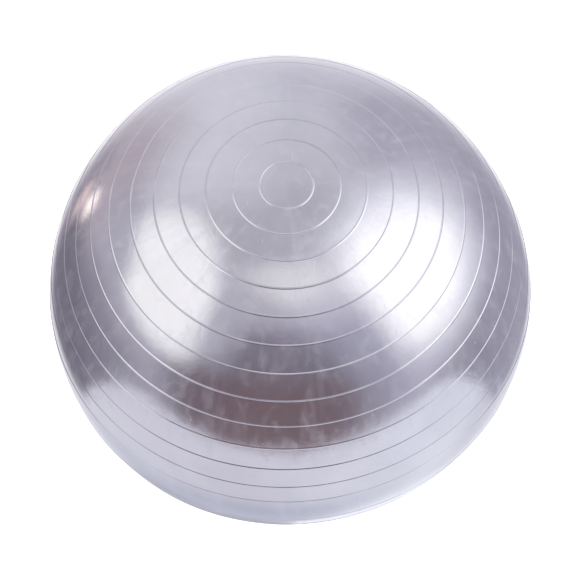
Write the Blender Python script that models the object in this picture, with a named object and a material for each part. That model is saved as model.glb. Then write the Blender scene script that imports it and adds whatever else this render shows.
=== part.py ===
"""Ribbed inflatable exercise ball with its valve.

Metres, +Z up. The origin is the middle of the flat patch that the ball stands
on, and the ribs run round the Z axis. Each half has its own ribs, with a smooth
belt between them. The valve sits in the belt and looks out along +Y.
"""

from math import cos, hypot, pi, radians, sin, sqrt

import bmesh
import bpy
from mathutils import Matrix, Vector

# Driving dimensions of the ball
BALL_WIDTH = 0.650            # across the middle, over the skin
BALL_HEIGHT = 0.600           # pole to pole, before the floor flattens the lower pole
SKIN_THICKNESS = 0.0009
CONTACT_RADIUS = 0.042        # flat patch that the ball's own weight presses on the floor
RIBS_PER_HALF = 13            # evenly spaced from the pole, the last one pitch short of the middle
RIB_WIDTH = 0.0026
RIB_HEIGHT = 0.0005

# Driving dimensions of the valve and its plug
HEAD_DIAMETER = 0.018
HEAD_THICKNESS = 0.0022
HEAD_DISH = 0.0006            # how far the middle of the head lies below its rim
STEM_DIAMETER = 0.0090        # over the ridges
STEM_RIDGE = 0.0004           # how far a ridge stands out of the stem
STEM_LENGTH = 0.022           # below the head
STEM_RIDGES = 4
NECK_LENGTH = 0.015           # of the insert's neck, below the outer skin
NECK_WALL = 0.0026
LIP_WIDTH = 0.0026            # of the insert's face round the head
FLANGE_WIDTH = 0.0025         # how far the flange reaches under the skin
FLANGE_THICKNESS = 0.0016
FLANGE_MARGIN = 0.0025        # of straight skin beyond the flange, above and below it
NOTCH_WIDTH = 0.0060          # finger-nail notch that the head is lifted by
NOTCH_REACH = 0.0014
CHAMFER = 0.0005

# Clearances
GAP = 0.0003                  # between faces that touch
HEAD_CLEARANCE = 0.0004       # round the head, in its recess

# Fineness of the faceted solids
FACETS_ROUND = 48             # a multiple of 4
FACETS_VALVE = 32

# Sizes that follow from the ones above
HALF_WIDTH = BALL_WIDTH / 2
HALF_HEIGHT = BALL_HEIGHT / 2
MIDDLE_HEIGHT = HALF_HEIGHT * sqrt(1 - (CONTACT_RADIUS / HALF_WIDTH) ** 2)
RIB_PITCH = pi / 2 / (RIBS_PER_HALF + 1)
HEAD_RADIUS = HEAD_DIAMETER / 2
RECESS_RADIUS = HEAD_RADIUS + HEAD_CLEARANCE
RECESS_DEPTH = HEAD_THICKNESS + GAP
STEM_RADIUS = STEM_DIAMETER / 2
BORE_RADIUS = STEM_RADIUS + GAP
LIP_RADIUS = RECESS_RADIUS + LIP_WIDTH
FLANGE_RADIUS = LIP_RADIUS + FLANGE_WIDTH
NECK_RADIUS = BORE_RADIUS + NECK_WALL
SKIN_HOLE_RADIUS = LIP_RADIUS + GAP
STRAIGHT_HALF = FLANGE_RADIUS + FLANGE_MARGIN   # half height of the straight strip in the belt


def clear_scene():
    for obj in list(bpy.data.objects):
        bpy.data.objects.remove(obj, do_unlink=True)


def new_material(name, color, roughness, metallic=0.0):
    material = bpy.data.materials.new(name)
    material.use_nodes = True
    shader = material.node_tree.nodes["Principled BSDF"]
    shader.inputs["Base Color"].default_value = (*color, 1.0)
    shader.inputs["Roughness"].default_value = roughness
    shader.inputs["Metallic"].default_value = metallic
    return material


def new_object(name, shape, material):
    """Turn a bmesh into a named object with smooth round faces."""
    bmesh.ops.recalc_face_normals(shape, faces=shape.faces)
    mesh = bpy.data.meshes.new(name)
    shape.to_mesh(mesh)
    shape.free()
    mesh.materials.append(material)
    mesh.shade_smooth()
    mesh.set_sharp_from_angle(angle=radians(35))
    obj = bpy.data.objects.new(name, mesh)
    bpy.context.scene.collection.objects.link(obj)
    return obj


def cut(target, cutter):
    """Take the cutter out of the target, and keep the cutter as a guide only."""
    cutter.hide_render = True
    cutter.display_type = "WIRE"
    modifier = target.modifiers.new(cutter.name, "BOOLEAN")
    modifier.operation = "DIFFERENCE"
    modifier.solver = "EXACT"
    modifier.object = cutter


def skin_point(angle, lift):
    """Radius and height of a point on the skin, at an angle down from the top pole.

    lift is how far the point stands out of the skin along its normal.
    """
    reach = 1 / hypot(sin(angle) / HALF_WIDTH, cos(angle) / HALF_HEIGHT)
    radius = reach * sin(angle)
    height = reach * cos(angle)
    normal = Vector((radius / HALF_WIDTH ** 2, height / HALF_HEIGHT ** 2)).normalized()
    return radius + lift * normal.x, MIDDLE_HEIGHT + height + lift * normal.y


def upper_rib_angles():
    return [RIB_PITCH * (index + 1) for index in range(RIBS_PER_HALF)]


def lower_rib_angles():
    """Ribs of the lower half that stand clear of the contact patch, from the top down."""
    angles = [pi - angle for angle in reversed(upper_rib_angles())]
    return [angle for angle in angles if skin_point(angle + RIB_PITCH / 2, 0)[1] > 0]


def straight_strip(lift):
    """Edges of the upright strip round the middle, which gives the valve a flat place."""
    radius = HALF_WIDTH + lift
    return [(radius, MIDDLE_HEIGHT + STRAIGHT_HALF), (radius, MIDDLE_HEIGHT - STRAIGHT_HALF)]


def outer_profile():
    """Skin from the top pole to the patch: foot, crest and foot of each rib."""
    half_rib = RIB_WIDTH / BALL_WIDTH

    def ribs(angles):
        points = []
        for angle in angles:
            points.append(skin_point(angle - half_rib, 0))
            points.append(skin_point(angle, RIB_HEIGHT))
            points.append(skin_point(angle + half_rib, 0))
        return points

    top = [skin_point(0, 0)] + ribs(upper_rib_angles())
    return top + straight_strip(0) + ribs(lower_rib_angles()) + [(CONTACT_RADIUS, 0.0)]


def inner_profile():
    """Inside of the skin, with a row behind each rib."""
    depth = -SKIN_THICKNESS
    top = [skin_point(angle, depth) for angle in [0.0] + upper_rib_angles()]
    bottom = [skin_point(angle, depth) for angle in lower_rib_angles()]
    return top + straight_strip(depth) + bottom + [(CONTACT_RADIUS, SKIN_THICKNESS)]


def add_shell(shape, profile):
    """Turn a profile round Z, with flats that touch the true circle and a flat foot."""
    half_step = pi / FACETS_ROUND
    rows = []
    for radius, height in profile[1:]:
        corner = radius / cos(half_step)
        turns = [2 * half_step * (index + 0.5) for index in range(FACETS_ROUND)]
        rows.append([shape.verts.new((corner * cos(a), corner * sin(a), height)) for a in turns])
    pole = shape.verts.new((0, 0, profile[0][1]))
    for index in range(FACETS_ROUND):
        following = (index + 1) % FACETS_ROUND
        shape.faces.new((pole, rows[0][index], rows[0][following]))
        for upper, lower in zip(rows, rows[1:]):
            shape.faces.new((upper[index], lower[index], lower[following], upper[following]))
    shape.faces.new(list(reversed(rows[-1])))


def hollow_skin(material):
    """Thin ribbed shell: an outer surface, and an inner one whose faces look inwards."""
    inner = bmesh.new()
    add_shell(inner, inner_profile())
    bmesh.ops.recalc_face_normals(inner, faces=inner.faces)
    bmesh.ops.reverse_faces(inner, faces=inner.faces)
    inside = bpy.data.meshes.new("skin_inside")
    inner.to_mesh(inside)
    inner.free()

    outer = bmesh.new()
    add_shell(outer, outer_profile())
    bmesh.ops.recalc_face_normals(outer, faces=outer.faces)
    outer.from_mesh(inside)
    mesh = bpy.data.meshes.new("ball_skin")
    outer.to_mesh(mesh)
    outer.free()
    bpy.data.meshes.remove(inside)

    mesh.materials.append(material)
    mesh.shade_smooth()
    mesh.set_sharp_from_angle(angle=radians(35))
    obj = bpy.data.objects.new("ball_skin", mesh)
    bpy.context.scene.collection.objects.link(obj)
    return obj


def turned(name, profile, material, closed):
    """Turn a profile of (radius, depth) round local Z.

    A closed profile makes a ring, and an open one runs from the axis back to it.
    """
    shape = bmesh.new()
    points = [shape.verts.new((radius, 0, depth)) for radius, depth in profile]
    links = list(zip(points, points[1:]))
    if closed:
        links.append((points[-1], points[0]))
    edges = [shape.edges.new(link) for link in links]
    bmesh.ops.spin(shape, geom=points + edges, cent=(0, 0, 0), axis=(0, 0, 1), angle=2 * pi,
                   steps=FACETS_VALVE, use_merge=True)
    bmesh.ops.remove_doubles(shape, verts=shape.verts, dist=1e-6)
    return new_object(name, shape, material)


def box(name, low, high, material):
    shape = bmesh.new()
    size = Vector(high) - Vector(low)
    middle = (Vector(high) + Vector(low)) / 2
    place = Matrix.Translation(middle) @ Matrix.Diagonal((*size, 1.0))
    bmesh.ops.create_cube(shape, size=1.0, matrix=place)
    return new_object(name, shape, material)


def insert_profile():
    """Collar with a recess for the head, a flange under the skin and a neck."""
    flange_top = -(SKIN_THICKNESS + GAP)
    flange_foot = flange_top - FLANGE_THICKNESS
    return [
        (LIP_RADIUS, 0.0),
        (RECESS_RADIUS, 0.0),
        (RECESS_RADIUS, -RECESS_DEPTH),
        (BORE_RADIUS + CHAMFER, -RECESS_DEPTH),
        (BORE_RADIUS, -RECESS_DEPTH - CHAMFER),
        (BORE_RADIUS, -NECK_LENGTH),
        (NECK_RADIUS, -NECK_LENGTH),
        (NECK_RADIUS, flange_foot - CHAMFER),
        (NECK_RADIUS + CHAMFER, flange_foot),
        (FLANGE_RADIUS, flange_foot),
        (FLANGE_RADIUS, flange_top),
        (LIP_RADIUS, flange_top),
    ]


def plug_profile():
    """Dished head with a rounded rim, and a ridged stem with a tapered end."""
    groove = STEM_RADIUS - STEM_RIDGE
    points = [
        (0.0, -HEAD_DISH),
        (HEAD_RADIUS * 0.70, -HEAD_DISH),
        (HEAD_RADIUS * 0.80, 0.0),
        (HEAD_RADIUS - CHAMFER, 0.0),
        (HEAD_RADIUS, -CHAMFER),
        (HEAD_RADIUS, -HEAD_THICKNESS),
        (groove, -HEAD_THICKNESS),
    ]
    taper = STEM_DIAMETER / 2
    step = (STEM_LENGTH - taper) / (STEM_RIDGES + 1)
    for index in range(STEM_RIDGES):
        ridge = -HEAD_THICKNESS - step * (index + 1)
        points += [
            (groove, ridge + 2 * STEM_RIDGE),
            (STEM_RADIUS, ridge),
            (groove, ridge - STEM_RIDGE),
        ]
    end = -HEAD_THICKNESS - STEM_LENGTH
    points += [(groove, end + taper), (groove * 0.55, end), (0.0, end)]
    return points


def main():
    clear_scene()
    skin_vinyl = new_material("skin_vinyl", (0.46, 0.46, 0.50), 0.28, 0.6)
    collar_vinyl = new_material("collar_vinyl", (0.40, 0.40, 0.43), 0.45)
    plug_plastic = new_material("plug_plastic", (0.85, 0.85, 0.84), 0.40)

    # The valve's own Z axis points out of the ball along +Y, and its X axis points up.
    valve_frame = bpy.data.objects.new("valve_frame", None)
    valve_frame.location = (0, HALF_WIDTH, MIDDLE_HEIGHT)
    valve_frame.rotation_euler = (-pi / 2, -pi / 2, 0)
    bpy.context.scene.collection.objects.link(valve_frame)

    skin = hollow_skin(skin_vinyl)
    hole_profile = [
        (0.0, LIP_RADIUS),
        (SKIN_HOLE_RADIUS, LIP_RADIUS),
        (SKIN_HOLE_RADIUS, -LIP_RADIUS),
        (0.0, -LIP_RADIUS),
    ]
    hole = turned("valve_hole", hole_profile, collar_vinyl, closed=False)
    cut(skin, hole)

    insert = turned("valve_insert", insert_profile(), collar_vinyl, closed=True)
    notch = box(
        "nail_notch",
        (RECESS_RADIUS - NOTCH_REACH, -NOTCH_WIDTH / 2, -RECESS_DEPTH + CHAMFER),
        (RECESS_RADIUS + NOTCH_REACH, NOTCH_WIDTH / 2, NOTCH_REACH),
        collar_vinyl,
    )
    cut(insert, notch)
    plug = turned("valve_plug", plug_profile(), plug_plastic, closed=False)
    for piece in (hole, insert, notch, plug):
        piece.parent = valve_frame

    bpy.context.view_layer.update()


main()
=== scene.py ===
"""Ribbed exercise ball with its valve insert and plug, on a plain studio floor.

Metres, +Z up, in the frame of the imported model: the ball stands on z = 0, its ribs
run round the Z axis, and the valve looks out of the smooth belt along +Y.
"""

from collections import namedtuple
from math import cos, pi, radians, sin

import bmesh
import bpy
from bpy.props import FloatProperty, FloatVectorProperty, IntProperty, PointerProperty
from mathutils import Matrix, Vector


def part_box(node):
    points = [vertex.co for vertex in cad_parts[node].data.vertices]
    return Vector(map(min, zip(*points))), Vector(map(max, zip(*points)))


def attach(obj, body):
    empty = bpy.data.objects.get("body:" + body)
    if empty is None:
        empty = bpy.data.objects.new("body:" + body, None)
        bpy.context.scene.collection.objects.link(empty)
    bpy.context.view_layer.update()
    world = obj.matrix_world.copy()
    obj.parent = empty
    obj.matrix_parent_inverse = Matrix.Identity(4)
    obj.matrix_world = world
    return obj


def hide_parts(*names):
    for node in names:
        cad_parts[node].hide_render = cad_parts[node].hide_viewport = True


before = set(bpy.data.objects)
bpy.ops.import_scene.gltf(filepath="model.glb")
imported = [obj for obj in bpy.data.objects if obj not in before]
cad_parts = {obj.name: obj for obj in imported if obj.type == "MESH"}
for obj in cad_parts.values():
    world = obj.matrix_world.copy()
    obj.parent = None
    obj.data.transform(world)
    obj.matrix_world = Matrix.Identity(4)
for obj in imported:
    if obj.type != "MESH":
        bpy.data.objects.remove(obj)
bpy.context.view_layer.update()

bl_info = {
    "name": "Ribbed Exercise Ball",
    "version": (1, 0, 0),
    "blender": (4, 5, 0),
    "location": "3D View > Sidebar > Exercise Ball",
    "description": "Builds a ribbed inflatable ball with its valve insert and plug",
    "category": "Add Mesh",
}

SKIN_LOW, SKIN_HIGH = (Vector(corner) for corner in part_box("ball_skin"))
INSERT_LOW, INSERT_HIGH = (Vector(corner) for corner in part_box("valve_insert"))
PLUG_LOW, PLUG_HIGH = (Vector(corner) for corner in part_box("valve_plug"))
MIDDLE_HEIGHT = (INSERT_LOW.z + INSERT_HIGH.z) / 2
HALF_WIDTH = (SKIN_HIGH.x - SKIN_LOW.x) / 2
HALF_HEIGHT = SKIN_HIGH.z - MIDDLE_HEIGHT
VALVE_FACE = INSERT_HIGH.y

ROWS_PER_PITCH = 14
ROWS_BESIDE_CREST = 4         # on each side of a rib's crest, the last one just clear of its foot
WHOLE_TURN = 2 * pi

FLOOR_HALF = 8.0              # the floor is a square
FLOOR_DROP = 0.0005           # below the ball, so that the two never share a face
FLOOR_GLOW_FADE = (1.0, 3.2)       # from the ball, where the floor's painted glow and its colour fade from white to pale grey
PICTURE_SIDE = 580
PICTURE_SHIFT = (0.9, -0.5)   # of the lens, in the picture's own units

# Pocket in the skin that holds the valve
HOLE_RADIUS = 0.0123
POCKET_RADIUS = 0.0170
POCKET_DEPTH = 0.0320
SKIN_WALL = 0.0009

COLORS = {"subtype": "COLOR", "size": 3, "min": 0.0, "max": 1.0}


# Sizes and colours that a user would change

def length(name, description, default):
    return FloatProperty(name=name, description=description, default=default, unit="LENGTH")


def turn_angle(name, description, default):
    return FloatProperty(
        name=name, description=description, default=radians(default), subtype="ANGLE")


class BallSkinSettings(bpy.types.PropertyGroup):
    half_width: length("Half Width", "From the axis to the skin, at the belt", HALF_WIDTH)
    half_height: length("Half Height", "From the belt's middle to the top pole", HALF_HEIGHT)
    middle_height: length("Middle Height", "Of the belt's middle above the floor", MIDDLE_HEIGHT)
    ribs_per_half: IntProperty(
        name="Ribs per Half", description="Ribs between a pole and the belt", default=13, min=1)
    rib_width: length("Rib Width", "Foot to foot across one rib", 0.0026)
    rib_height: length("Rib Height", "Of a rib above the skin", 0.0005)
    columns: IntProperty(
        name="Columns", description="Faces round the ball", default=240, min=32)
    crown_drop: length("Crown Drop", "How far the top pole is sunk", 0.0077)
    shoulder_rise: length("Shoulder Rise", "How far the skin swells below the crown", 0.0036)
    oval: length("Oval", "How far the belt swells on two sides", 0.0030)
    oval_turn: turn_angle("Oval Turn", "Where the belt is narrowest", -7)
    lean: length("Lean", "How far the upper half leans over", 0.0059)
    lean_turn: turn_angle("Lean Turn", "Away from which side the upper half leans", 33)
    lobes: length("Lobes", "How far the belt swells on three sides", 0.0020)
    lobes_turn: turn_angle("Lobes Turn", "Where the belt is narrowest between lobes", 22)
    ripple: length("Ripple", "Depth of the soft unevenness all over", 0.0004)
    color: FloatVectorProperty(
        name="Color", description="Of the pearl silver", default=(0.585, 0.58, 0.65), **COLORS)


class ValveSettings(bpy.types.PropertyGroup):
    head_radius: length("Head Radius", "Of the plug's head", (PLUG_HIGH.x - PLUG_LOW.x) / 2)
    stem_radius: length("Stem Radius", "Of the plug's stem, over its ridges", 0.0045)
    flange_radius: length(
        "Flange Radius", "Of the insert under the skin", (INSERT_HIGH.x - INSERT_LOW.x) / 2)
    insert_color: FloatVectorProperty(
        name="Insert Color", description="Of the insert's soft vinyl",
        default=(0.33, 0.33, 0.37), **COLORS)
    plug_color: FloatVectorProperty(
        name="Plug Color", description="Of the plug's plastic", default=(0.80, 0.80, 0.79),
        **COLORS)


class BallStageSettings(bpy.types.PropertyGroup):
    camera_distance: length("Camera Distance", "From the ball's middle", 2.275)
    camera_elevation: FloatProperty(
        name="Camera Elevation", description="Above the horizon", default=radians(64.08),
        subtype="ANGLE")
    camera_roll: FloatProperty(
        name="Camera Roll", description="Clockwise", default=radians(1.38), subtype="ANGLE")
    focal_length: FloatProperty(
        name="Focal Length", description="Of the lens, in millimetres", default=102.45,
        unit="CAMERA")


# Node trees

class Value:
    """A number socket in a node tree. An expression on it adds its Math nodes."""

    def __init__(self, tree, socket):
        self.tree = tree
        self.socket = socket

    def math(self, operation, first, second=0.0):
        return self.tree.node("ShaderNodeMath", {"operation": operation}, {0: first, 1: second})

    def __add__(self, other):
        return self.math("ADD", self, other)

    def __sub__(self, other):
        return self.math("SUBTRACT", self, other)

    def __rsub__(self, other):
        return self.math("SUBTRACT", other, self)

    def __mul__(self, other):
        return self.math("MULTIPLY", self, other)

    def __truediv__(self, other):
        return self.math("DIVIDE", self, other)

    def __rtruediv__(self, other):
        return self.math("DIVIDE", other, self)

    def __pow__(self, other):
        return self.math("POWER", self, other)

    __radd__ = __add__
    __rmul__ = __mul__

    def sine(self):
        return self.math("SINE", self)

    def cosine(self):
        return self.math("COSINE", self)

    def absolute(self):
        return self.math("ABSOLUTE", self)

    def rounded(self):
        return self.math("ROUND", self)

    def root(self):
        return self.math("SQRT", self)

    def over(self, other):
        """1 where this is greater than the other, and 0 elsewhere."""
        return self.math("GREATER_THAN", self, other)

    def lowest(self, other):
        return self.math("MINIMUM", self, other)

    def highest(self, other):
        return self.math("MAXIMUM", self, other)

    def ramp(self, start, end):
        """A smooth rise from 0 at start to 1 at end."""
        settings = {"interpolation_type": "SMOOTHSTEP"}
        return self.tree.node(
            "ShaderNodeMapRange", settings, {"Value": self, "From Min": start, "From Max": end})

    def hump(self, centre, width):
        """A bell curve of height 1."""
        away = (self - centre) / width
        return self.math("EXPONENT", 0.0 - away * away)

    def output(self, name):
        return Value(self.tree, self.socket.node.outputs[name])


class Tree:
    """Adds nodes to a node tree."""

    def __init__(self, tree):
        self.tree = tree

    def node(self, kind, settings=None, inputs=None):
        """Add a node: its settings first, and then the values or links of its sockets."""
        node = self.tree.nodes.new(kind)
        for name, setting in (settings or {}).items():
            setattr(node, name, setting)
        for key, value in (inputs or {}).items():
            if isinstance(value, Value):
                self.tree.links.new(value.socket, node.inputs[key])
            else:
                node.inputs[key].default_value = value
        return Value(self, node.outputs[0]) if len(node.outputs) else node

    def mix(self, factor, first, second):
        """Mix two colours."""
        mixed = self.node(
            "ShaderNodeMix", {"data_type": "RGBA"}, {0: factor, 6: first, 7: second})
        return Value(self, mixed.socket.node.outputs[2])

    def split(self, vector):
        parts = self.node("ShaderNodeSeparateXYZ", inputs={0: vector})
        return [parts.output(axis) for axis in "XYZ"]

    def join(self, x, y, z):
        return self.node("ShaderNodeCombineXYZ", inputs={0: x, 1: y, 2: z})

    def noise(self, vector, scale, detail=2.0, roughness=0.5, distortion=0.0):
        return self.node("ShaderNodeTexNoise", inputs={
            "Vector": vector, "Scale": scale, "Detail": detail, "Roughness": roughness,
            "Distortion": distortion})

    def stretched(self, vector, scale, rotation=(0.0, 0.0, 0.0)):
        return self.node("ShaderNodeMapping", inputs={
            "Vector": vector, "Scale": scale, "Rotation": rotation})


def skin_tree():
    """Wrap a grid on the ball's profile, with rows packed close on each rib."""
    group = bpy.data.node_groups.new("ribbed_skin", "GeometryNodeTree")
    sockets = [
        ("Half Width", "NodeSocketFloat"),
        ("Half Height", "NodeSocketFloat"),
        ("Middle Height", "NodeSocketFloat"),
        ("Ribs per Half", "NodeSocketInt"),
        ("Rib Width", "NodeSocketFloat"),
        ("Rib Height", "NodeSocketFloat"),
        ("Columns", "NodeSocketInt"),
        ("Crown Drop", "NodeSocketFloat"),
        ("Shoulder Rise", "NodeSocketFloat"),
        ("Oval", "NodeSocketFloat"),
        ("Oval Turn", "NodeSocketFloat"),
        ("Lean", "NodeSocketFloat"),
        ("Lean Turn", "NodeSocketFloat"),
        ("Lobes", "NodeSocketFloat"),
        ("Lobes Turn", "NodeSocketFloat"),
        ("Ripple", "NodeSocketFloat"),
        ("Material", "NodeSocketMaterial"),
    ]
    for name, kind in sockets:
        group.interface.new_socket(name=name, in_out="INPUT", socket_type=kind)
    group.interface.new_socket(name="Skin", in_out="OUTPUT", socket_type="NodeSocketGeometry")
    tree = Tree(group)
    given = tree.node("NodeGroupInput")
    half_width = given.output("Half Width")
    half_height = given.output("Half Height")
    ribs = given.output("Ribs per Half")
    pitches = (ribs + 1) * 2
    pitch = pi / pitches

    grid = tree.node("GeometryNodeMeshGrid", inputs={
        "Size X": 1.0, "Size Y": 1.0, "Vertices X": given.output("Columns") + 1,
        "Vertices Y": pitches * ROWS_PER_PITCH + 1})
    across, down, _ = tree.split(tree.node("GeometryNodeInputPosition"))
    turn = across * WHOLE_TURN

    # A point's place between ribs, in rib pitches from the top pole
    place = (0.5 - down) * pitches
    nearest = place.rounded()
    offset = place - nearest
    side = offset.math("SIGN", offset)
    rows = offset.absolute()
    rib_share = given.output("Rib Width") / 2 * 1.35 / (pitch * half_width)
    row_share = ROWS_BESIDE_CREST / ROWS_PER_PITCH
    tight = rib_share / row_share
    loose = (0.5 - rib_share) / (0.5 - row_share)
    packed = rows * tight + (rows - row_share).highest(0.0) * (loose - tight)
    has_rows = nearest.over(0.5) * (pitches - nearest).over(0.5)
    packed = rows + (packed - rows) * has_rows
    angle = (nearest + side * packed) * pitch

    # Base shape: an ellipse in the upright plane
    outward, upright = angle.sine(), angle.cosine()
    reach = 1 / ((outward / half_width) ** 2 + (upright / half_height) ** 2).root()
    east, north = turn.sine(), 0.0 - turn.cosine()
    aim = tree.join(outward * east, outward * north, upright)
    valve_aside = ((outward * east) ** 2 + upright ** 2).root() * half_width
    valve_side = (outward * north).over(0.0)
    clear_of_valve = valve_aside.ramp(0.030, 0.140).highest(1 - valve_side)
    upper = 1 - angle.ramp(radians(95), radians(150))

    # How the air in it leaves the ball a little out of round
    def wave(name, count):
        start = given.output(name + " Turn")
        return given.output(name) * ((turn - start) * count).cosine()

    swell = (
        given.output("Shoulder Rise") * angle.hump(radians(47), radians(16))
        - given.output("Crown Drop") * angle.hump(0.0, radians(22))
        - wave("Lean", 1.0) * outward * upright
        - wave("Oval", 2.0) * outward ** 2
        - wave("Lobes", 3.0) * outward ** 3
    ) * (reach / half_width)
    soft = tree.noise(aim, 2.6, detail=2.5, roughness=0.45)
    swell = swell * upper + (soft - 0.5) * 2.0 * given.output("Ripple")

    # Ribs, with small nicks in them
    on_belt = (nearest - ribs - 1.0).absolute()
    raised = on_belt.over(0.5) * has_rows
    from_crest = packed * pitch * half_width / (given.output("Rib Width") / 2)
    crest = 1 - from_crest.ramp(0.0, 1.0)
    along = tree.noise(aim, 38.0, detail=1.0)
    nick = along.ramp(0.74, 0.79)
    uneven = tree.noise(aim, 7.0, detail=1.0) * 0.5 + 0.75
    lift = crest * raised * uneven * (1 - nick * 0.8) * given.output("Rib Height")
    foot_free = (reach * upright + given.output("Middle Height")).ramp(0.0005, 0.004)

    radius = reach + swell * clear_of_valve * foot_free + lift * foot_free
    east_place = radius * outward * east
    north_place = radius * outward * north
    height = (radius * upright + given.output("Middle Height")).highest(0.0)
    flat = (1 - valve_aside.ramp(0.018, 0.050)) * valve_side
    north_place = north_place + (half_width - north_place) * flat
    placed = tree.node("GeometryNodeSetPosition", inputs={
        "Geometry": grid, "Position": tree.join(east_place, north_place, height)})
    closed = tree.node("GeometryNodeMergeByDistance", inputs={
        "Geometry": placed, "Distance": 0.000004})
    smooth = tree.node("GeometryNodeSetShadeSmooth", inputs={"Geometry": closed})
    whole = tree.node("GeometryNodeRealizeInstances", inputs={"Geometry": smooth})
    covered = tree.node("GeometryNodeSetMaterial", inputs={
        "Geometry": whole, "Material": given.output("Material")})
    tree.node("NodeGroupOutput", inputs={"Skin": covered})
    return group


def grown(name, group, values):
    """Run a tree, and keep what it makes as a plain mesh object."""
    obj = bpy.data.objects.new(name, bpy.data.meshes.new(name))
    bpy.context.scene.collection.objects.link(obj)
    modifier = obj.modifiers.new(group.name, "NODES")
    modifier.node_group = group
    for item in group.interface.items_tree:
        if item.in_out == "INPUT":
            modifier[item.identifier] = values[item.name]
    depsgraph = bpy.context.evaluated_depsgraph_get()
    mesh = bpy.data.meshes.new_from_object(
        obj.evaluated_get(depsgraph), preserve_all_data_layers=True, depsgraph=depsgraph)
    obj.modifiers.remove(modifier)
    unused = obj.data
    obj.data = mesh
    bpy.data.meshes.remove(unused)
    mesh.name = name
    mesh.materials.clear()
    mesh.materials.append(values["Material"])
    return obj


# Meshes

def finished_mesh(name, shape, material, sharp=35):
    """Turn a bmesh into a named object with smooth round faces."""
    bmesh.ops.remove_doubles(shape, verts=shape.verts, dist=1e-6)
    bmesh.ops.recalc_face_normals(shape, faces=shape.faces)
    mesh = bpy.data.meshes.new(name)
    shape.to_mesh(mesh)
    shape.free()
    mesh.materials.append(material)
    mesh.shade_smooth()
    mesh.set_sharp_from_angle(angle=radians(sharp))
    obj = bpy.data.objects.new(name, mesh)
    bpy.context.scene.collection.objects.link(obj)
    return obj


def turned(name, profile, material, closed, steps=96):
    """Turn a profile of (radius, depth) round the valve's axis; depth 0 is its face."""
    shape = bmesh.new()
    points = [shape.verts.new((radius, 0, depth)) for radius, depth in profile]
    links = list(zip(points, points[1:]))
    if closed:
        links.append((points[-1], points[0]))
    edges = [shape.edges.new(link) for link in links]
    bmesh.ops.spin(shape, geom=points + edges, cent=(0, 0, 0), axis=(0, 0, 1),
                   angle=WHOLE_TURN, steps=steps, use_merge=True)
    bmesh.ops.transform(shape, matrix=VALVE_PLACE, verts=shape.verts)
    return finished_mesh(name, shape, material)


# The valve's own Z axis points out of the ball along +Y, and its X axis points up.
VALVE_PLACE = Matrix((
    (0, 1, 0, 0),
    (0, 0, 1, VALVE_FACE),
    (1, 0, 0, MIDDLE_HEIGHT),
    (0, 0, 0, 1),
))


def rounded_profile(corners, steps=4):
    """Round the corners of a profile. A corner is (radius, depth, fillet)."""
    points = []
    count = len(corners)
    for index, (radius, depth, fillet) in enumerate(corners):
        here = Vector((radius, depth))
        if fillet == 0:
            points.append(tuple(here))
            continue
        before = Vector(corners[index - 1][:2]) - here
        after = Vector(corners[(index + 1) % count][:2]) - here
        start = here + before.normalized() * fillet
        end = here + after.normalized() * fillet
        for step in range(steps + 1):
            share = step / steps
            bend = (start * (1 - share) ** 2 + here * (2 * share * (1 - share))
                    + end * share ** 2)
            points.append(tuple(bend))
    return points


def cut(obj, cutter, solver="EXACT"):
    """Take the cutter out of an object, and drop the cutter."""
    modifier = obj.modifiers.new("cut", "BOOLEAN")
    modifier.operation = "DIFFERENCE"
    modifier.solver = solver
    modifier.object = cutter
    depsgraph = bpy.context.evaluated_depsgraph_get()
    mesh = bpy.data.meshes.new_from_object(obj.evaluated_get(depsgraph))
    obj.modifiers.remove(modifier)
    unused = obj.data
    material = unused.materials[0]
    obj.data = mesh
    mesh.name = obj.name
    mesh.materials.clear()
    mesh.materials.append(material)
    bpy.data.meshes.remove(unused)
    bpy.data.objects.remove(cutter, do_unlink=True)


# Materials

def new_material(name):
    """A material with an empty Principled shader, as (material, tree, shader node)."""
    material = bpy.data.materials.new(name)
    material.use_nodes = True
    nodes = material.node_tree.nodes
    nodes.clear()
    tree = Tree(material.node_tree)
    shader = tree.node("ShaderNodeBsdfPrincipled")
    tree.node("ShaderNodeOutputMaterial", inputs={"Surface": shader})
    return material, tree, shader.socket.node


def link(tree, value, node, name):
    tree.tree.links.new(value.socket, node.inputs[name])


def shaded(color, share):
    return (*(part * share for part in color), 1.0)


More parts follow.
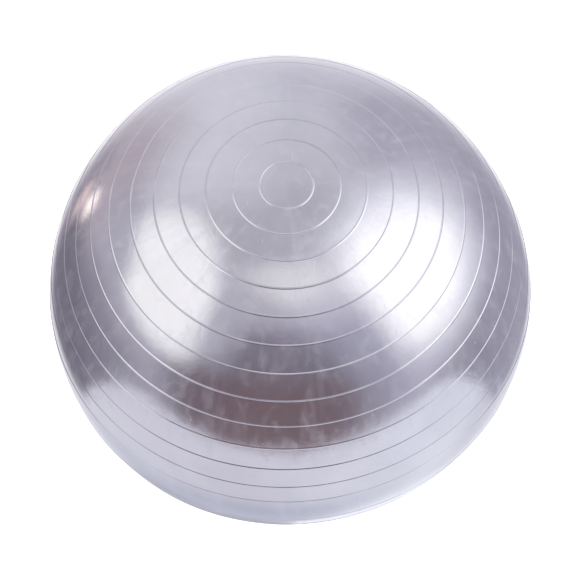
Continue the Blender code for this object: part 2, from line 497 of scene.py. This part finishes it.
def pearl_skin(color):
    """Glossy pearl silver vinyl with faint haze, streaks and scratches."""
    material, tree, shader = new_material("pearl_skin")
    place = tree.node("ShaderNodeTexCoord").output("Object")
    x, y, z = tree.split(place)
    out = (x * x + y * y).root().highest(0.03)
    along = tree.join(x / out * 0.16, y / out * 0.16, z * 0.16)
    cloudy = tree.noise(place, 9.0, detail=4.0, roughness=0.55)
    haze = tree.noise(place, 22.0, detail=5.0, roughness=0.62, distortion=0.8)
    streaks = tree.noise(
        tree.stretched(place, (70.0, 70.0, 11.0), (0.5, 0.3, 0.9)), 1.0, detail=4.0,
        distortion=0.5)
    rubbed = tree.noise(along, 85.0, detail=4.0, roughness=0.6)
    wear = streaks.ramp(0.48, 0.74) * 0.6 + rubbed.ramp(0.46, 0.76) * 0.5
    scratches = tree.noise(
        tree.stretched(place, (240.0, 40.0, 150.0), (0.4, 0.9, 0.2)), 1.0, detail=2.0)
    scratch = scratches.ramp(0.735, 0.77)
    tone = tree.mix(cloudy.ramp(0.35, 0.65), shaded(color, 0.96), shaded(color, 1.05))
    tone = tree.mix((wear * 0.25 + scratch * 0.3).lowest(1.0), tone, shaded(color, 1.25))
    link(tree, tone, shader, "Base Color")
    link(tree, 0.90 - wear * 0.16, shader, "Metallic")
    rough = 0.12 + cloudy * 0.04 + haze.ramp(0.40, 0.75) * 0.06 + wear * 0.12 + scratch * 0.1
    link(tree, rough, shader, "Roughness")
    shader.inputs["Coat Weight"].default_value = 0.25
    shader.inputs["Coat Roughness"].default_value = 0.08
    relief = cloudy * 0.0006 + haze * 0.0004 + streaks * 0.00004 + rubbed * 0.00004
    bump = tree.node("ShaderNodeBump", inputs={
        "Strength": 0.6, "Distance": 1.0, "Height": relief})
    link(tree, bump, shader, "Normal")
    return material


def soft_vinyl(color):
    """Satin vinyl of the insert, with a fine moulded grain."""
    material, tree, shader = new_material("insert_vinyl")
    place = tree.node("ShaderNodeTexCoord").output("Object")
    cloudy = tree.noise(place, 120.0, detail=3.0)
    grain = tree.noise(place, 2600.0, detail=2.0)
    link(tree, tree.mix(cloudy, shaded(color, 0.88), shaded(color, 1.12)), shader, "Base Color")
    link(tree, 0.40 + cloudy * 0.15, shader, "Roughness")
    bump = tree.node("ShaderNodeBump", inputs={
        "Strength": 0.5, "Distance": 1.0, "Height": grain * 0.00005})
    link(tree, bump, shader, "Normal")
    return material


def plug_plastic(color):
    """Off-white moulded plastic of the plug, slightly cloudy."""
    material, tree, shader = new_material("plug_plastic")
    place = tree.node("ShaderNodeTexCoord").output("Object")
    cloudy = tree.noise(place, 160.0, detail=3.0)
    grain = tree.noise(place, 3200.0, detail=2.0)
    link(tree, tree.mix(cloudy, shaded(color, 0.94), shaded(color, 1.04)), shader, "Base Color")
    link(tree, 0.32 + cloudy * 0.12, shader, "Roughness")
    shader.inputs["Subsurface Weight"].default_value = 0.15
    shader.inputs["Subsurface Radius"].default_value = (0.003, 0.003, 0.003)
    bump = tree.node("ShaderNodeBump", inputs={
        "Strength": 0.4, "Distance": 1.0, "Height": grain * 0.00004})
    link(tree, bump, shader, "Normal")
    return material


# Operators

class BALL_OT_add_skin(bpy.types.Operator):
    """Make the ribbed skin, with the pocket that holds the valve"""
    bl_idname = "exercise_ball.add_skin"
    bl_label = "Add Ball Skin"

    def execute(self, context):
        sizes = context.scene.ball_skin_settings
        values = {
            "Half Width": sizes.half_width,
            "Half Height": sizes.half_height,
            "Middle Height": sizes.middle_height,
            "Ribs per Half": sizes.ribs_per_half,
            "Rib Width": sizes.rib_width,
            "Rib Height": sizes.rib_height,
            "Columns": sizes.columns,
            "Crown Drop": sizes.crown_drop,
            "Shoulder Rise": sizes.shoulder_rise,
            "Oval": sizes.oval,
            "Oval Turn": sizes.oval_turn,
            "Lean": sizes.lean,
            "Lean Turn": sizes.lean_turn,
            "Lobes": sizes.lobes,
            "Lobes Turn": sizes.lobes_turn,
            "Ripple": sizes.ripple,
            "Material": pearl_skin(sizes.color),
        }
        skin = grown("ribbed_skin", skin_tree(), values)
        shape = bmesh.new()
        shape.from_mesh(skin.data)
        bmesh.ops.recalc_face_normals(shape, faces=shape.faces)
        shape.to_mesh(skin.data)
        shape.free()

        outside = 0.01
        pocket = [
            (0.0, outside),
            (HOLE_RADIUS, outside),
            (HOLE_RADIUS, -SKIN_WALL),
            (POCKET_RADIUS, -SKIN_WALL),
            (POCKET_RADIUS, -POCKET_DEPTH),
            (0.0, -POCKET_DEPTH),
        ]
        cut(skin, turned("valve_pocket", pocket, skin.data.materials[0], closed=False),
            solver="MANIFOLD")
        skin.data.set_sharp_from_angle(angle=radians(50))
        if len(skin.data.polygons) < 1000:
            raise RuntimeError("the skin came out empty")
        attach(skin, "ball")
        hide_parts("ball_skin")
        return {"FINISHED"}


class BALL_OT_add_insert(bpy.types.Operator):
    """Make the valve insert: a collar with a recess, a flange and a neck"""
    bl_idname = "exercise_ball.add_insert"
    bl_label = "Add Valve Insert"

    def execute(self, context):
        sizes = context.scene.ball_valve_settings
        recess = sizes.head_radius + 0.0004
        bore = sizes.stem_radius + 0.0003
        lip = recess + 0.0026
        neck = bore + 0.0026
        depth, recess_depth = INSERT_HIGH.y - INSERT_LOW.y, 0.0025
        under, foot = -0.0012, -0.0028
        profile = rounded_profile([
            (lip, 0.0, 0.0005),
            (recess, 0.0, 0.0004),
            (recess, -recess_depth, 0.0003),
            (bore, -recess_depth, 0.0005),
            (bore, -depth, 0.0003),
            (neck, -depth, 0.0003),
            (neck, foot, 0.0005),
            (sizes.flange_radius, foot, 0.0004),
            (sizes.flange_radius, under, 0.0004),
            (lip, under, 0.0),
        ])
        insert = turned("valve_collar", profile, soft_vinyl(sizes.insert_color), closed=True)
        notch = bmesh.new()
        middle = Matrix.Translation((recess, 0.0, -0.0003))
        bmesh.ops.create_uvsphere(
            notch, u_segments=24, v_segments=16, radius=1.0,
            matrix=VALVE_PLACE @ middle @ Matrix.Diagonal((0.0015, 0.0030, 0.0017, 1.0)))
        cut(insert, finished_mesh("nail_notch", notch, insert.data.materials[0]))
        insert.data.set_sharp_from_angle(angle=radians(35))
        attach(insert, "ball")
        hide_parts("valve_insert")
        return {"FINISHED"}


class BALL_OT_add_plug(bpy.types.Operator):
    """Make the push-in plug: a dished head and a ridged, tapered stem"""
    bl_idname = "exercise_ball.add_plug"
    bl_label = "Add Valve Plug"

    def execute(self, context):
        sizes = context.scene.ball_valve_settings
        head, ridge = sizes.head_radius, sizes.stem_radius
        groove = ridge - 0.0004
        thick, dish, end = 0.0022, 0.0006, PLUG_LOW.y - PLUG_HIGH.y
        taper, ridges = ridge, 4
        corners = [
            (0.0, -dish, 0.0),
            (head * 0.70, -dish, 0.0005),
            (head * 0.80, 0.0, 0.0004),
            (head, 0.0, 0.0006),
            (head, -thick, 0.0003),
            (groove, -thick, 0.0003),
        ]
        step = (-end - thick - taper) / (ridges + 1)
        for index in range(ridges):
            depth = -thick - step * (index + 1)
            corners += [
                (groove, depth + 0.0008, 0.0003),
                (ridge, depth, 0.0002),
                (groove, depth - 0.0004, 0.0002),
            ]
        corners += [(groove, end + taper, 0.0008), (groove * 0.55, end, 0.0006), (0.0, end, 0.0)]
        profile = rounded_profile(corners)
        plug = turned("valve_stopper", profile, plug_plastic(sizes.plug_color), closed=False)
        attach(plug, "plug")
        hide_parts("valve_plug")
        return {"FINISHED"}


# One soft-edged patch of the studio, in degrees: its azimuth from the camera's side towards
# +X, its elevation, how far it reaches each way, the share of that reach that is edge, its
# light, and how far it slants to the right for each degree up. A later patch covers the
# ones before it.
Patch = namedtuple("Patch", "azimuth elevation wide tall soft light slant", defaults=(0.0,))
SURROUNDINGS = [
    Patch(-158, 26, 22, 36, 0.50, (0.95, 0.94, 0.97)),      # sweep's lit left part
    Patch(134, 2, 27, 46, 0.40, (0.57, 0.55, 0.63)),        # right wall behind the window
    Patch(-126, -6, 26, 26, 0.55, (0.66, 0.58, 0.62)),      # warm glow of the lamp
    Patch(-74, 0, 36, 14, 0.60, (0.62, 0.59, 0.66)),        # wall under the left window
    Patch(64, 0, 30, 15, 0.60, (0.68, 0.66, 0.73)),         # wall under the right window
    Patch(-86, -17, 26, 17, 0.60, (0.36, 0.34, 0.40)),      # and below both of them
    Patch(82, -28, 24, 25, 0.55, (0.38, 0.37, 0.44)),
    Patch(-111, -38, 35, 21, 0.50, (0.21, 0.19, 0.24)),     # low on the left
    Patch(110, -40, 33, 25, 0.45, (0.42, 0.41, 0.49)),      # low on the right
    Patch(5, 79, 66, 9, 0.50, (1.16, 1.14, 1.10)),          # lit ceiling above the camera
    Patch(104, 68, 38, 9, 0.60, (0.74, 0.73, 0.76)),        # and above the right window
    Patch(18, 69, 24, 10, 0.50, (1.22, 1.22, 1.18)),
    Patch(58, 62, 24, 10, 0.70, (1.15, 1.14, 1.15)),
    Patch(-5, 52, 52, 16, 0.50, (0.72, 0.69, 0.76)),        # wall above the camera's side
    Patch(38, 48, 24, 19, 0.60, (0.93, 0.91, 0.98)),
    Patch(8, 22, 54, 36, 0.35, (0.49, 0.48, 0.58)),         # dark camera side, right part
    Patch(-14, 20, 40, 34, 0.30, (0.24, 0.21, 0.26)),       # the same, left part
    Patch(-6, 2, 34, 26, 0.50, (0.20, 0.12, 0.13)),         # brown floor beyond the sweep
    Patch(-46, 43, 15, 15, 0.70, (0.68, 0.66, 0.73)),       # glow beside the left window
    Patch(-84, 40, 34, 24, 0.24, (1.58, 1.57, 1.47), -0.35),    # left window
    Patch(-110, 15, 15, 11, 0.50, (0.58, 0.56, 0.62)),
    Patch(95, 37, 38, 36, 0.45, (1.25, 1.25, 1.30), 0.22),  # glow round the right window
    Patch(87, 40, 31, 28, 0.35, (1.88, 1.88, 1.77), 0.14),  # right window
    Patch(-126, -17, 3, 6, 0.60, (2.20, 1.90, 1.70)),       # lamp
    Patch(-132, -29, 3, 6, 0.80, (1.20, 0.95, 0.90)),
]

# Darker parts of the sweep, in the same terms: a painted shadow of the ball under it, and darker
# patches at the sweep's far edges
PAINTED_SHADOW_AND_DARK_EDGES = [
    # painted shadow of the ball on the sweep beneath it
    Patch(-35, -76, 75, 18, 0.60, (0.66, 0.69, 0.79)),
    Patch(-130, -81, 60, 9, 0.50, (0.50, 0.50, 0.57)),
    # darker at the sweep's far edges
    Patch(108, -64, 34, 9, 0.60, (0.88, 0.89, 0.95)),
    Patch(86, -47, 15, 12, 0.70, (0.84, 0.85, 0.92)),
]


def soft_patch(tree, azimuth, elevation, patch):
    """Mask of a patch with round corners."""
    above = elevation - patch.elevation
    aside = azimuth - patch.azimuth - above * patch.slant
    wide = (aside.absolute() / patch.wide) ** 3
    tall = (above.absolute() / patch.tall) ** 3
    return 1 - ((wide + tall) ** (1 / 3)).ramp(1 - patch.soft, 1 + patch.soft)


class BALL_OT_add_stage(bpy.types.Operator):
    """Set up the pale floor with its painted glow, the studio that lights the ball, and the
    camera
    """
    bl_idname = "exercise_ball.add_stage"
    bl_label = "Add Stage"

    def execute(self, context):
        sizes = context.scene.ball_stage_settings
        self.add_floor()
        self.add_surroundings(context.scene)
        self.add_camera(context.scene, sizes)
        context.scene.view_settings.view_transform = "Standard"
        return {"FINISHED"}

    def add_floor(self):
        shape = bmesh.new()
        bmesh.ops.create_grid(shape, x_segments=1, y_segments=1, size=FLOOR_HALF,
                              matrix=Matrix.Translation((0, 0, -FLOOR_DROP)))
        material, tree, shader = new_material("glowing_pale_floor")
        x, y, _ = tree.split(tree.node("ShaderNodeTexCoord").output("Object"))
        # The floor glows: painted light that keeps it white near the ball, and a painted pool of
        # light round the ball, as its glow and its base colour both fade to pale grey further out
        far = (x * x + y * y).root().ramp(*FLOOR_GLOW_FADE)
        link(tree, tree.mix(far, (0.85, 0.85, 0.86, 1.0), (0.62, 0.62, 0.64, 1.0)),
             shader, "Base Color")
        link(tree, tree.mix(far, (1.0, 1.0, 1.0, 1.0), (0.22, 0.22, 0.23, 1.0)),
             shader, "Emission Color")
        shader.inputs["Roughness"].default_value = 0.9
        shader.inputs["Emission Strength"].default_value = 0.7
        floor = finished_mesh("glowing_pale_floor", shape, material)
        floor.visible_glossy = False

    def add_surroundings(self, scene):
        """Studio round the ball: two side windows, a pale sweep with a painted shadow of the ball
        on it, and a dark camera side.
        """
        world = bpy.data.worlds.new("studio")
        scene.world = world
        world.use_nodes = True
        world.node_tree.nodes.clear()
        tree = Tree(world.node_tree)
        x, y, z = tree.split(tree.node("ShaderNodeTexCoord"))
        to_degrees = 180 / pi
        azimuth = x.math("ARCTAN2", x, 0.0 - y) * to_degrees
        elevation = z.math("ARCSINE", z) * to_degrees
        aside = azimuth.absolute()

        # Pale walls, brightest low down
        color = tree.mix(elevation.ramp(-54.0, -36.0), (1.36, 1.32, 1.35, 1.0),
                         (0.99, 0.97, 1.02, 1.0))
        color = tree.mix(elevation.ramp(-40.0, 4.0), color, (0.76, 0.75, 0.81, 1.0))
        color = tree.mix(elevation.ramp(4.0, 36.0), color, (0.87, 0.86, 0.90, 1.0))
        color = tree.mix(elevation.ramp(46.0, 74.0), color, (0.60, 0.59, 0.63, 1.0))
        for patch in SURROUNDINGS:
            mask = soft_patch(tree, azimuth, elevation, patch)
            color = tree.mix(mask, color, (*patch.light, 1.0))

        # Pale sweep that the ball stands on, with a painted shadow under the ball, and where it
        # ends at the front and sides
        edge = (-14.6 + (azimuth + 5.0).absolute().ramp(8.0, 45.0) * 3.0
                - aside.ramp(56.0, 104.0 - azimuth.ramp(-60.0, 60.0) * 8.0) * 44.5)
        sheet = tree.mix(azimuth.ramp(-20.0, 60.0), (0.96, 0.95, 1.00, 1.0),
                         (1.12, 1.15, 1.21, 1.0))
        # Painted shadow of the ball on the sweep, and its darker far edges
        for patch in PAINTED_SHADOW_AND_DARK_EDGES:
            mask = soft_patch(tree, azimuth, elevation, patch)
            sheet = tree.mix(mask, sheet, (*patch.light, 1.0))
        color = tree.mix(1 - (elevation - edge).ramp(-2.0, 2.0), color, sheet)

        # The camera itself sees one plain pale backdrop
        seen = tree.node("ShaderNodeLightPath").output("Is Camera Ray")
        color = tree.mix(seen, color, (0.76, 0.76, 0.78, 1.0))
        background = tree.node("ShaderNodeBackground", inputs={"Color": color})
        tree.node("ShaderNodeOutputWorld", inputs={"Surface": background})

    def add_camera(self, scene, sizes):
        camera = bpy.data.cameras.new("camera")
        camera.lens = sizes.focal_length
        camera.sensor_width = 36.0
        camera.shift_x = PICTURE_SHIFT[0] / PICTURE_SIDE
        camera.shift_y = PICTURE_SHIFT[1] / PICTURE_SIDE
        obj = bpy.data.objects.new("camera", camera)
        scene.collection.objects.link(obj)
        back = Vector((0, -cos(sizes.camera_elevation), sin(sizes.camera_elevation)))
        level = Vector((1, 0, 0))
        roll = sizes.camera_roll
        right = level * cos(roll) - back.cross(level) * sin(roll)
        up = back.cross(right)
        turn = Matrix((right, up, back)).transposed()
        place = Vector((0, 0, MIDDLE_HEIGHT)) + back * sizes.camera_distance
        obj.matrix_world = Matrix.Translation(place) @ turn.to_4x4()
        scene.camera = obj


class BALL_PT_panel(bpy.types.Panel):
    """Buttons that build the ball and its stage"""
    bl_idname = "BALL_PT_panel"
    bl_label = "Exercise Ball"
    bl_space_type = "VIEW_3D"
    bl_region_type = "UI"
    bl_category = "Exercise Ball"

    def draw(self, context):
        for settings, operators in (
            (context.scene.ball_skin_settings, [BALL_OT_add_skin]),
            (context.scene.ball_valve_settings, [BALL_OT_add_insert, BALL_OT_add_plug]),
            (context.scene.ball_stage_settings, [BALL_OT_add_stage]),
        ):
            box = self.layout.box()
            for name in type(settings).__annotations__:
                box.prop(settings, name)
            for operator in operators:
                box.operator(operator.bl_idname)


SETTINGS = {
    "ball_skin_settings": BallSkinSettings,
    "ball_valve_settings": ValveSettings,
    "ball_stage_settings": BallStageSettings,
}
CLASSES = [
    *SETTINGS.values(),
    BALL_OT_add_skin,
    BALL_OT_add_insert,
    BALL_OT_add_plug,
    BALL_OT_add_stage,
    BALL_PT_panel,
]


def register():
    for cls in CLASSES:
        bpy.utils.register_class(cls)
    for name, cls in SETTINGS.items():
        setattr(bpy.types.Scene, name, PointerProperty(type=cls))


def unregister():
    for name in SETTINGS:
        delattr(bpy.types.Scene, name)
    for cls in reversed(CLASSES):
        bpy.utils.unregister_class(cls)


def main():
    register()
    bpy.ops.exercise_ball.add_stage()
    bpy.ops.exercise_ball.add_skin()
    bpy.ops.exercise_ball.add_insert()
    bpy.ops.exercise_ball.add_plug()


if __name__ == "__main__":
    main()
